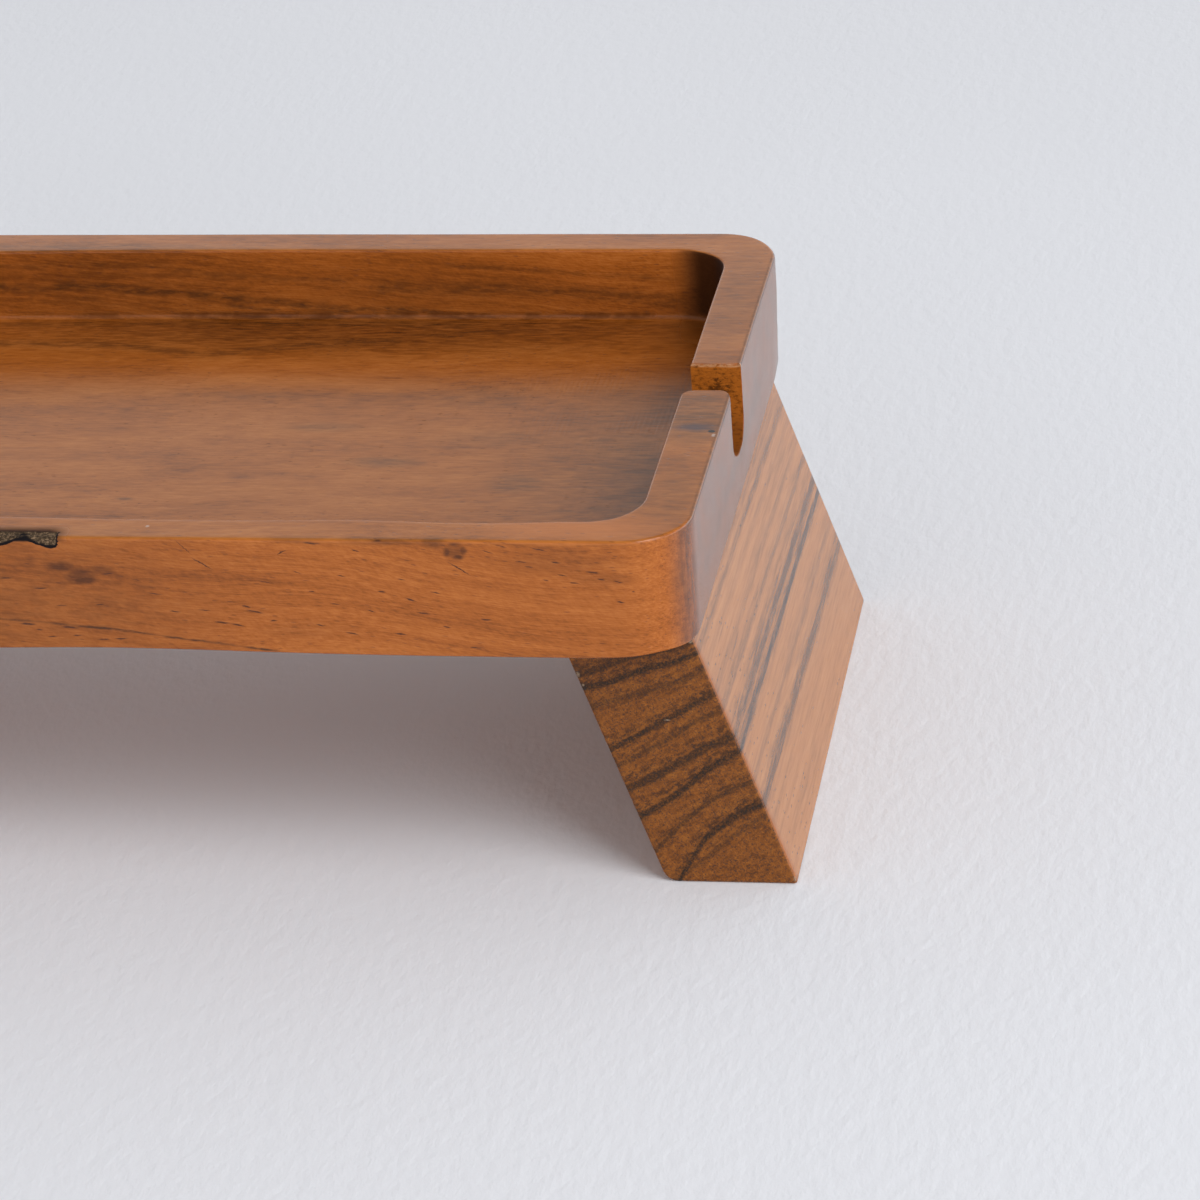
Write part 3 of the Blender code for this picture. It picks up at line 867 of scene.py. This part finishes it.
# Dark rings of the leg's end face: points as x, z, half width, darkness there and on the long faces
LEG_RINGS = (
    (((124, 57), (133, 59), (143, 62), (153, 66)), 0.8, 0.8, 0.4),
    (((124, 50.5), (133, 53), (143, 56), (153, 60)), 0.7, 0.7, 0.4),
    (((124, 45.2), (128.9, 46.1), (137, 49), (144, 51.3), (152, 53.6)), 0.9, 0.85, 0.35),
    (((124, 41.6), (128.8, 42.9), (135, 44.6), (140.8, 46.9), (146.7, 48.8), (153, 51.3)), 0.9, 1, 0.5),
    (((126, 38.2), (130.4, 39.2), (135, 40.4), (144, 43.2), (154, 47.6)), 0.9, 0.6, 0.2),
    (((130, 27.4), (133.8, 29.6), (138.3, 32.1), (142.5, 34.8), (146.7, 37.3), (150.8, 39.8),
      (156, 42.9)), 0.9, 0.95, 0.25),
    (((132, 24.8), (135.4, 26.3), (140, 29.2), (145.8, 32.5), (150.8, 36), (158, 39)), 0.8, 0.6, 0.5),
    (((134, 19.8), (137.1, 21.3), (142.5, 23.8), (148.3, 27.5), (152.5, 30.4), (160, 33.6)), 1.3, 0.9, 0.8),
    (((136, 12.6), (138.3, 14.4), (142.9, 17.5), (147.5, 20.8), (151.7, 24.8), (155.8, 27.7),
      (161, 31)), 1.1, 1, 1),
    (((140, 6), (144.2, 10.4), (148.8, 15), (153.8, 19.2), (161.3, 22.9), (164, 24)), 0.8, 0.75, 0.35),
    (((143.5, -4), (145.8, 0.8), (148.3, 5.4), (151.3, 10), (155.8, 13.8), (159.2, 16.3),
      (165, 18.7)), 1.2, 1, 0.8),
    (((153, 7.5), (157, 10.8), (163.3, 15.4), (167, 17)), 0.8, 0.5, 0.1),
)
LEG_RING_SLOPE = 0.6
LEG_RING_SINK = 0.029

# Short dark dashes of the leg's outer face: y, z, half length and half height
LEG_DASHES = ((-41.5, 40.6, 8.5, 0.45), (-47, 45.9, 7, 0.35), (-57, 49.6, 3, 0.35))

# Pale splinters at the leg's edges: centre, then radii
SPLINTERS = (
    ((128.3, -65.3, 45.9), (0.55, 1, 0.9)), ((129.2, -65.3, 43.6), (0.35, 1, 0.4)),
    ((168.6, -65.3, 1.2), (0.7, 1, 0.8)), ((150.7, -65.3, 53.3), (0.6, 1, 0.4)),
    ((145.2, -65.3, 36.2), (0.9, 1, 0.2)),
)


# Grain of the legs: the axes that it follows, sizes of its features, detail and roughness
LEG_GRAINS = {
    "bands": ("turned", (2.6, 90, 18), 3, 0.6),
    "rays": ("turned", (1.6, 40, 0.26), 3, 0.65),
    "mottles": ("turned", (0.9, 20, 2.2), 3, 0.65),
    "fibres": ("place", (0.5, 9, 0.5), 3, 0.6),
    "specks": ("place", (0.38, 3, 0.38), 3, 0.75),
}
LEG_WANDER = ((9, 60, 9), 1.2)
LEG_RAGGED = ((0.9, 7, 0.7), 3, 0.65)
LEG_RAGGED_REACH = (1.2, 1.3)
LEG_FRONT = -65
LEG_MIDDLE_X = 158
LEG_PORES = ((0.7, 3.2, 0.7), 0.25)
# Tint of the legs' long faces near the front edge: painted shade, darker and more orange, in place of the
# sheen that the rounded edge loses
PAINTED_EDGE_SHADE_TINT = (0.8, 0.55, 0.2, 1)

# Masks of the legs, laid out like the board's
LEG_MASKS = {
    "end": (("turn_y", 0.5, 0.8),),
    "hair": (("rays", 0.53, 0.66, 0, 0.5), ("turn_y", 0.5, 0.8), ("mottles", 0.35, 0.55)),
    "cloud": (("mottles", 0.4, 0.58, 0.95, 0.2),),
    "pepper": (("specks", 0.5, 0.66, 1, 0.5),),
    "fibrous": (("fibres", 0.4, 0.68, 1, 0.55),),
    "near_front": (("y", -10, -55, 0.03, 0.5),),
    "speck": (("turn_y", 0.5, 0.8), ("specks", 0.49, 0.36, 0, 0.75)),
    # Near the front edge, where the long faces get painted shade
    "front_edge_lighting": (("y", -62, LEG_FRONT, 0, 0.8),),
    "splintery": (("specks", 0.35, 0.55, 0.3, 0.9),),
}


def leg_wood(name, side, shift, wood):
    """Tan hardwood with dark rings that run from front to back; side mirrors it, shift lowers it."""
    f = Finish(name)
    sizes, wander_reach = LEG_WANDER
    wander = f.grain(f.place, sizes)
    ragged = f.grain(f.place, *LEG_RAGGED)
    reach_x, reach_z = LEG_RAGGED_REACH
    straight_x = f.times(f.x, side)
    x = f.weighted((ragged, reach_x), base=f.calc("SUBTRACT", straight_x, reach_x / 2))
    z = f.calc("ADD", f.z, shift - LEG_FRONT * LEG_RING_SINK - (wander_reach + reach_z) / 2)
    z = f.weighted((f.y, LEG_RING_SINK), (wander, wander_reach), (ragged, reach_z), base=z)
    growth = f.calc("MULTIPLY_ADD", x, -LEG_RING_SLOPE, z)
    around = f.calc("MULTIPLY_ADD", z, LEG_RING_SLOPE, x)
    values = {"y": f.y, "turn_y": f.calc("ABSOLUTE", f.parts(f.normal)[1])}
    values |= f.grains(LEG_GRAINS, {"place": f.place, "turned": f.joined(growth, f.y, around)})

    def mask(name):
        return f.masked(LEG_MASKS[name], values)

    on_end = mask("end")
    on_side = f.calc("SUBTRACT", 1.0, on_end)
    bands = (values["bands"], 0.3)
    end_tone = f.weighted(bands, (values["rays"], 0.55), (values["mottles"], 0.65), base=-0.25)
    side_tone = f.weighted(bands, (values["fibres"], 0.26), base=0.22)
    tone = f.calc("MULTIPLY_ADD", on_end, f.calc("SUBTRACT", end_tone, side_tone), side_tone)
    f.colour = f.ramp(tone, (
        (0.36, dimmed(wood.leg_base, 0.55)), (0.5, opaque(wood.leg_base)), (0.64, opaque(wood.leg_light)),
    ))
    f.coat(mask("hair"), dimmed(wood.leg_light, 1.35))
    clouded = mask("cloud")
    place = f.joined(straight_x, f.y, f.z)

    def rings():
        for points, half_width, end_darkness, side_darkness in LEG_RINGS:
            above = f.calc("SUBTRACT", z, f.path(x, points))
            core = f.fade(f.calc("ABSOLUTE", above), half_width * 1.25, half_width * 0.4)
            upper = f.fade(above, half_width * 4.2, 0.0)
            lower = f.fade(above, -half_width * 2.4, 0.0)
            darkness = f.calc("MULTIPLY_ADD", on_side, side_darkness - end_darkness, end_darkness)
            yield f.times(f.calc("MAXIMUM", core, f.times(upper, lower, clouded)), darkness)
        for y, low_z, half_length, half_height in LEG_DASHES:
            middle = (LEG_MIDDLE_X, y, low_z + shift)
            yield f.times(f.spot(place, middle, (9.0, half_length, half_height), 0.8), on_side, 0.8)

    ring_share = f.times(f.most(rings()), f.calc("MINIMUM", mask("pepper"), mask("fibrous")))
    f.coat(ring_share, opaque(wood.leg_ring))
    dots = f.pores(f.place, *LEG_PORES, mask("near_front"))
    f.coat(f.times(dots, 0.6), opaque(wood.leg_ring))
    f.tint(on_end, opaque(wood.leg_end))
    f.coat(mask("speck"), dimmed(wood.leg_ring, 0.9))
    # Painted shade near the front edge of the long faces, in place of the sheen that the rounded edge loses
    f.tint(f.times(mask("front_edge_lighting"), on_side), PAINTED_EDGE_SHADE_TINT)
    splintered = f.most(f.spot(place, centre, sizes, 0.7) for centre, sizes in SPLINTERS)
    f.coat(f.times(splintered, mask("splintery")), opaque(wood.splinter))

    grit = f.times(values["specks"], on_end)
    height = f.weighted((values["fibres"], 0.5), (dots, -0.8), (grit, 2.0))
    f.feed(f.shader.inputs["Specular IOR Level"], f.weighted((on_end, -0.22), base=0.5))
    return f.surface(f.weighted((on_end, 0.3), base=wood.gloss_roughness), height, 0.05 * MM)


def dowel_wood(wood):
    """Plain pale wood, turned and unfinished, with its grain along the dowel."""
    f = Finish("dowel_wood_plain")
    fibres = f.grain(f.place, (0.5, 0.5, 12.0), 3.0, 0.6)
    f.colour = f.ramp(fibres, ((0.3, dimmed(wood.dowel, 0.75)), (0.7, opaque(wood.dowel))))
    return f.surface(0.7, fibres, 0.05 * MM)


# The board

# Waves of the front wall's inner edge, in millimetres: middle, spread and depth
RIM_WAVES = ((20, 14, 0.5), (60, 12, -0.2), (85, 10, 0.4), (110, 11, -0.6), (130, 8, 0.4), (-70, 30, 0.4))
BOARD_STEPS = (200, 92, 14)

# Middle and spread along X of the back wall's bow and of the lifts at the front, in metres
RIM_BOW_PLACE = (-0.042, 0.036)
FRONT_LIFT_PLACE = (0.040, 0.034)
CORNER_LIFT_PLACE = (0.1475, 0.008)

# Waves per metre of the sanding, the saw marks and the chips, and of the bark's crumbs per millimetre
SANDING_WAVES = (22, 22, 30)
SAW_WAVES = (1500, 500)
CHIP_WAVES = 1400
CRUMB_WAVES = 1.9

# Slices of the slot cutter, a number that leaves none of its rings on a face of the wall
SLOT_SLICES = 48

# Seed of the hand-worked surfaces, without which noise vectors would follow the clock
WORKED_SEED = 5


def board_outlines(sizes):
    """Outlines of the board from its underside, up round its rim and down to the pocket floor."""
    inner_length = HALF_LENGTH - sizes.end_wall
    inner_depth = HALF_DEPTH - sizes.side_wall
    pocket_floor = RIM - sizes.pocket_depth

    def outer(inset, level):
        radii = (max(sizes.corner_radius - inset, 0),) * 4
        points = rounded_outline(HALF_LENGTH - inset, HALF_DEPTH - inset, radii, BOARD_STEPS)
        return points, level

    def inner(inset, level):
        radii = (max(sizes.pocket_radius - inset, 0),) * 4
        return rounded_outline(inner_length - inset, inner_depth - inset, radii, BOARD_STEPS), level

    outlines = []
    strip_steps = 8
    for step in range(strip_steps):
        share = step / strip_steps
        inset = sizes.corner_radius + share * (sizes.under_round - sizes.corner_radius)
        outlines.append(outer(inset, UNDERSIDE))
    for sine, cosine in quarter_turn(6):
        outlines.append(outer(sizes.under_round * (1 - sine), UNDERSIDE + sizes.under_round * (1 - cosine)))
    wall_steps = 16
    wall_low = UNDERSIDE + sizes.under_round
    wall_high = RIM - sizes.outer_ease
    for step in range(1, wall_steps):
        outlines.append(outer(0, wall_low + (wall_high - wall_low) * step / wall_steps))
    for sine, cosine in quarter_turn(5):
        outlines.append(outer(sizes.outer_ease * (1 - cosine), RIM - sizes.outer_ease * (1 - sine)))
    rim_steps = 8
    rim_outer = outer(sizes.outer_ease, RIM)[0]
    rim_inner = inner(-sizes.inner_ease, RIM)[0]
    for step in range(1, rim_steps):
        share = step / rim_steps
        outlines.append(([a.lerp(b, share) for a, b in zip(rim_outer, rim_inner)], RIM))
    for sine, cosine in quarter_turn(4):
        outlines.append(inner(-sizes.inner_ease * (1 - sine), RIM - sizes.inner_ease * (1 - cosine)))
    pocket_steps = 10
    pocket_high = RIM - sizes.inner_ease
    pocket_low = pocket_floor + sizes.cove
    for step in range(1, pocket_steps):
        outlines.append(inner(0, pocket_high + (pocket_low - pocket_high) * step / pocket_steps))
    for sine, cosine in quarter_turn(6):
        outlines.append(inner(sizes.cove * (1 - cosine), pocket_floor + sizes.cove * (1 - sine)))
    floor_steps = 6
    for step in range(1, floor_steps + 1):
        share = step / floor_steps
        outlines.append(inner(sizes.cove + share * (sizes.pocket_radius - sizes.cove), pocket_floor))
    return outlines


def bark_depth_at(point, sizes):
    """How deep the bark pocket is at a point of the front or the rim, with a broken surface."""
    x, y, z = point / MM
    edge = next((
        low_z + (high_z - low_z) * (x - low_x) / (high_x - low_x)
        for (low_x, low_z), (high_x, high_z) in zip(BARK_EDGE, BARK_EDGE[1:]) if low_x <= x <= high_x
    ), math.inf)
    inside = min(z - edge, BARK_BACK_Y - y, BARK_END_X - x, x - BARK_START_X)
    crumble = 0.75 + 0.5 * noise.noise(Vector((x, y, z)) * CRUMB_WAVES)
    return sizes.bark_depth * crumble * smooth_share(inside, 0.1, 0.7)


def work_by_hand(bm, sizes):
    """Moves the board's surface as hand sanding and the wood itself do."""
    pocket_back = HALF_DEPTH - sizes.side_wall
    pocket_floor = RIM - sizes.pocket_depth
    for vert in bm.verts:
        x, y, z = vert.co
        sway = noise.noise_vector(Vector(part * waves for part, waves in zip(vert.co, SANDING_WAVES)))
        move = Vector((sway.x, sway.y, 0.5 * sway.z)) * sizes.waviness
        if z > pocket_floor - 0.1 * MM and y > 0:
            reach = smooth_share(y, pocket_back - 8 * MM, pocket_back)
            reach *= 1 - smooth_share(y, pocket_back + sizes.inner_ease, HALF_DEPTH - sizes.outer_ease)
            bow = (sizes.rim_bow - sizes.back_thicker) * hump(x, *RIM_BOW_PLACE)
            move.y -= reach * (sizes.back_thicker + bow)
        low_share = 1 - smooth_share(z, UNDERSIDE, UNDERSIDE + 5 * MM)
        front_share = 1 - smooth_share(y, -HALF_DEPTH, -HALF_DEPTH + 9 * MM)
        lift = sizes.front_lift * hump(x, *FRONT_LIFT_PLACE)
        lift += sizes.corner_lift * hump(x, *CORNER_LIFT_PLACE)
        move.z += lift * low_share * front_share
        rim_share = smooth_share(z, RIM - 3 * MM, RIM - sizes.inner_ease)
        rim_share *= 1 - smooth_share(-y, pocket_back, pocket_back + 5 * MM)
        if y < -pocket_back + 1 * MM:
            waves = sum(depth * hump(x / MM, middle, spread) for middle, spread, depth in RIM_WAVES)
            move.y += rim_share * waves * MM
        corner_share = smooth_share(x, HALF_LENGTH - 9 * MM, HALF_LENGTH) * smooth_share(y, 0.05, 0.07)
        move.x -= sizes.corner_undercut * corner_share * (1 - smooth_share(z, UNDERSIDE, RIM - 6 * MM))
        vert.co += move


def roughen_bark(bm, sizes):
    """Refines the mesh round the bark pocket and sinks the pocket into it."""
    low = Vector((BARK_START_X - 2, -HALF_DEPTH / MM - 1, 75.5)) * MM
    high = Vector((BARK_END_X + 2, BARK_BACK_Y + 1.5, RIM / MM + 1)) * MM
    edges = [
        edge for edge in bm.edges
        if all(low[axis] <= vert.co[axis] <= high[axis] for vert in edge.verts for axis in range(3))
    ]
    bmesh.ops.subdivide_edges(bm, edges=edges, cuts=3, use_grid_fill=True)
    bm.normal_update()
    depths = {vert: bark_depth_at(vert.co, sizes) for vert in bm.verts}
    moves = [(vert, vert.normal * depth) for vert, depth in depths.items() if depth > 0]
    for vert, move in moves:
        vert.co -= move


def lip_rounding(depth, slot):
    """How far the slot's front side gives way at this depth behind the nearer face of the wall."""
    share_left = 1 - min(max(depth / slot.lip_depth, 0), 1)
    return slot.lip_flare * (1 - math.sqrt(1 - share_left ** 2))


def slot_cutter(slot, board):
    """A U-shaped way through the end wall: rounded front lips, a chipped back edge, saw marks."""
    steps = (26, 40, 10)
    overrun = 4 * MM
    sill = RIM - board.pocket_depth + slot.sill_rise
    top = RIM + overrun
    wall_inner = HALF_LENGTH - board.end_wall
    start, end = wall_inner - overrun, HALF_LENGTH + overrun
    radii = (slot.foot_radius, 0, 0, slot.foot_radius)
    outline = rounded_outline(slot.width / 2, (top - sill) / 2, radii, steps)
    cap = rounded_outline(
        slot.width / 2 - slot.foot_radius, (top - sill) / 2 - slot.foot_radius, (0, 0, 0, 0), steps
    )
    outlines = [(outline, start + (end - start) * step / SLOT_SLICES) for step in range(SLOT_SLICES + 1)]
    outlines = [(cap, start), *outlines, (cap, end)]
    middle = (top + sill) / 2
    bm = skin(outlines, steps, lambda point, level: Vector((level, point.x, middle + point.y)))
    for vert in bm.verts:
        x, y, z = vert.co
        depth = min(x - wall_inner, HALF_LENGTH - x)
        front_share = max(-2 * y / slot.width, 0)
        back_share = max(2 * y / slot.width, 0)
        vert.co.y -= front_share * lip_rounding(depth, slot)
        ragged = 0.45 + 0.55 * math.sin(math.pi * min(max(depth / board.end_wall + 0.2, 0), 0.5) * 2)
        ragged += 0.45 * noise.noise(Vector((x * CHIP_WAVES, 0, 3.7)))
        reach = smooth_share(z, RIM - 0.7 * MM, RIM - 0.05 * MM)
        vert.co.y += back_share * slot.chip * max(ragged, 0.15) * reach
        fine, coarse = (noise.noise_vector(Vector((x, y, z)) * waves) for waves in SAW_WAVES)
        vert.co += (fine + coarse) * slot.saw_marks * max(front_share * 0.4, back_share)
    return finished_object("slot cutter", bm)


def dowel_hole_cutters(name, side_names, legs):
    """One mesh of round holes for the dowels of these legs, each with its clearance."""
    bm = bmesh.new()
    for side_name in side_names:
        for place_name in DOWEL_PLACES:
            low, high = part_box("dowel_" + side_name + "_" + place_name)
            radius = (high.x - low.x) / 2 + legs.hole_clearance
            depth = high.z - low.z + 2 * legs.hole_clearance
            centre = Matrix.Translation((low + high) / 2)
            bmesh.ops.create_cone(
                bm, cap_ends=True, segments=48, radius1=radius, radius2=radius, depth=depth, matrix=centre
            )
    return finished_object(name, bm)


class DESKTRAY_OT_board(bpy.types.Operator):
    """Build the routed board with its pocket, slot, dowel holes and bark pocket"""

    bl_idname = "desk_tray.board"
    bl_label = "Add Tray Board"
    bl_options = {"REGISTER", "UNDO"}

    def execute(self, context):
        settings = context.scene.desk_tray
        noise.seed_set(WORKED_SEED)
        bm = skin(board_outlines(settings.board), BOARD_STEPS, lambda point, level: Vector((*point, level)))
        work_by_hand(bm, settings.board)
        roughen_bark(bm, settings.board)
        board = finished_object("tray_board_wood", bm)
        cut(board, [
            slot_cutter(settings.slot, settings.board),
            dowel_hole_cutters("dowel holes", LEG_SIDES, settings.legs),
        ])
        shade(board)
        place_piece(board, "tray_board", board_wood(settings.wood))
        return {"FINISHED"}


# The legs

LEG_STEPS = (34, 62, 4)

# How far the left leg's rings lie below the right leg's, in millimetres
LEFT_RING_SHIFT = 6.0


def leg_mesh(side, low, high, legs):
    """A plank leg between its box's corners: sheared outward, eased edges, a rounded heel."""
    lean = math.tan(legs.splay)
    height = UNDERSIDE - legs.joint_gap
    width = (high.x - low.x) - high.z * lean
    length = high.y - low.y
    middle_y = (low.y + high.y) / 2
    foot_outer = high.x if side > 0 else low.x
    foot_middle = foot_outer - side * width / 2

    def outline(inset):
        ease = max(legs.edge_ease - inset, 0)
        heel = max(legs.heel_round - inset, 0)
        radii = (ease, ease, ease, heel) if side > 0 else (heel, ease, ease, ease)
        return rounded_outline(width / 2 - inset, height / 2 - inset, radii, LEG_STEPS)

    def to_space(point, level):
        z = height / 2 + point.y
        return Vector((foot_middle + point.x - side * lean * z, middle_y + level, z))

    cap_insets = [legs.heel_round * (1 - step / 5) for step in range(5)]
    outlines = [(outline(inset), -length / 2) for inset in cap_insets[:-1]]
    for sine, cosine in quarter_turn(3):
        outlines.append((outline(legs.edge_ease * (1 - sine)), -length / 2 + legs.edge_ease * (1 - cosine)))
    body_steps = 96
    body = length - 2 * legs.edge_ease
    for step in range(1, body_steps):
        outlines.append((outline(0), -body / 2 + body * step / body_steps))
    for sine, cosine in quarter_turn(3):
        outlines.append((outline(legs.edge_ease * (1 - cosine)), length / 2 - legs.edge_ease * (1 - sine)))
    outlines += [(outline(inset), length / 2) for inset in reversed(cap_insets[:-1])]
    return skin(outlines, LEG_STEPS, to_space)


class DESKTRAY_OT_legs(bpy.types.Operator):
    """Build both splayed plank legs with their dowel holes"""

    bl_idname = "desk_tray.legs"
    bl_label = "Add Plank Legs"
    bl_options = {"REGISTER", "UNDO"}

    def execute(self, context):
        settings = context.scene.desk_tray
        for side_name, side in LEG_SIDES.items():
            node = "leg_" + side_name
            bm = leg_mesh(side, *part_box(node), settings.legs)
            leg = finished_object(node + "_plank", bm)
            cut(leg, [dowel_hole_cutters(side_name + " holes", (side_name,), settings.legs)])
            shade(leg)
            shift = 0.0 if side > 0 else LEFT_RING_SHIFT
            material = leg_wood(node + "_wood_satin", float(side), shift, settings.wood)
            place_piece(leg, node, material)
        return {"FINISHED"}


class DESKTRAY_OT_dowels(bpy.types.Operator):
    """Give the hidden dowels of the frame their wood"""

    bl_idname = "desk_tray.dowels"
    bl_label = "Finish Dowels"
    bl_options = {"REGISTER", "UNDO"}

    def execute(self, context):
        material = dowel_wood(context.scene.desk_tray.wood)
        for side_name in LEG_SIDES:
            for place_name in DOWEL_PLACES:
                dowel = frame["nodes"]["dowel_" + side_name + "_" + place_name]
                dowel.data.materials.clear()
                dowel.data.materials.append(material)
        return {"FINISHED"}


# The studio

KEY_TARGET = (0.05, 0, 0.03)

# Sizes in millimetres of the paper's pressed grain, its felt marks and its clouds
PRESSED_SIZES = (3.0, 5.6, 4.0)
FELT_SIZES = (1.0, 2.0, 1.2)
CLOUD_SIZES = (260.0, 260.0, 260.0)


def floor_paper(studio):
    """Pale heavy paper with a fine pressed grain."""
    f = Finish("pale_paper")
    pressed = f.grain(f.place, PRESSED_SIZES, 3.0, 0.5)
    felt = f.grain(f.place, FELT_SIZES, 2.0, 0.5)
    tone = f.grain(f.place, CLOUD_SIZES)
    f.colour = f.mix(f.fade(tone, 0.35, 0.65), dimmed(studio.floor, 0.985), opaque(studio.floor))
    return f.surface(0.85, f.weighted((pressed, 0.9), (felt, 0.2)), 0.25 * MM)


def pale_room(studio):
    """A pale room: brightest low down, most of all on the right, with a dim ceiling."""
    world = bpy.data.worlds.new("pale room")
    world.use_nodes = True
    tree = world.node_tree
    background = tree.nodes["Background"]
    background.inputs["Color"].default_value = opaque(studio.room)
    direction = tree.nodes.new("ShaderNodeTexCoord")
    parts = tree.nodes.new("ShaderNodeSeparateXYZ")
    tree.links.new(direction.outputs["Generated"], parts.inputs[0])

    def between(value, start, end, low, high):
        made = tree.nodes.new("ShaderNodeMapRange")
        made.interpolation_type = "SMOOTHSTEP"
        limits = {"From Min": start, "From Max": end, "To Min": low, "To Max": high}
        for name, limit in limits.items():
            made.inputs[name].default_value = limit
        tree.links.new(value, made.inputs["Value"])
        return made.outputs["Result"]

    wall = between(parts.outputs["X"], 0.2, 0.9, studio.low_wall, studio.right_wall)
    upper = between(parts.outputs["Z"], 0.55, 0.80, studio.high_wall, studio.ceiling)
    strength = tree.nodes.new("ShaderNodeMix")
    tree.links.new(between(parts.outputs["Z"], 0.24, 0.42, 0.0, 1.0), strength.inputs["Factor"])
    tree.links.new(wall, strength.inputs["A"])
    tree.links.new(upper, strength.inputs["B"])
    tree.links.new(strength.outputs["Result"], background.inputs["Strength"])
    return world


def aim(thing, target):
    thing.rotation_euler = (Vector(target) - thing.location).to_track_quat("-Z", "Y").to_euler()


class DESKTRAY_OT_studio(bpy.types.Operator):
    """Set up the pale floor, the soft light and the camera"""

    bl_idname = "desk_tray.studio"
    bl_label = "Add Studio"
    bl_options = {"REGISTER", "UNDO"}

    def execute(self, context):
        scene = context.scene
        studio = scene.desk_tray.studio
        bm = bmesh.new()
        bmesh.ops.create_grid(bm, x_segments=1, y_segments=1, size=studio.floor_size / 2)
        floor = finished_object("floor", bm)
        floor.data.materials.append(floor_paper(studio))

        scene.world = pale_room(studio)

        lamp = bpy.data.lights.new("soft key", "AREA")
        lamp.energy = studio.key_power
        lamp.size = studio.key_size
        key = bpy.data.objects.new("soft key", lamp)
        key.location = studio.key_place
        scene.collection.objects.link(key)
        aim(key, KEY_TARGET)

        camera_data = bpy.data.cameras.new("camera")
        camera_data.lens = studio.camera_lens
        camera_data.clip_start = 0.01
        camera = bpy.data.objects.new("camera", camera_data)
        camera.location = studio.camera_place
        camera.rotation_euler = studio.camera_turn
        scene.collection.objects.link(camera)
        scene.camera = camera
        scene.view_settings.view_transform = "Standard"
        return {"FINISHED"}


class DESKTRAY_PT_panel(bpy.types.Panel):
    """Panel with the steps and settings of the desk tray"""

    bl_idname = "DESKTRAY_PT_panel"
    bl_label = "Desk Organizer Tray"
    bl_space_type = "VIEW_3D"
    bl_region_type = "UI"
    bl_category = "Desk Tray"

    def draw(self, context):
        layout = self.layout
        for operator in OPERATORS:
            layout.operator(operator.bl_idname)
        settings = context.scene.desk_tray
        for group_name in ("board", "slot", "legs", "wood", "studio"):
            group = getattr(settings, group_name)
            box = layout.box()
            box.label(text=group_name.title())
            for setting in group.__annotations__:
                box.prop(group, setting)


OPERATORS = (DESKTRAY_OT_studio, DESKTRAY_OT_board, DESKTRAY_OT_legs, DESKTRAY_OT_dowels)
CLASSES = (
    TrayBoardSizes, SlotSizes, LegSizes, WoodLooks, StudioLooks, DeskTraySettings,
    *OPERATORS, DESKTRAY_PT_panel,
)


def register():
    for cls in CLASSES:
        bpy.utils.register_class(cls)
    bpy.types.Scene.desk_tray = bpy.props.PointerProperty(type=DeskTraySettings)


def unregister():
    del bpy.types.Scene.desk_tray
    for cls in reversed(CLASSES):
        bpy.utils.unregister_class(cls)


def main():
    for name in startup_objects:
        bpy.data.objects.remove(bpy.data.objects[name], do_unlink=True)
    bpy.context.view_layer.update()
    register()
    bpy.ops.desk_tray.studio()
    bpy.ops.desk_tray.board()
    bpy.ops.desk_tray.legs()
    bpy.ops.desk_tray.dowels()


if __name__ == "__main__":
    main()
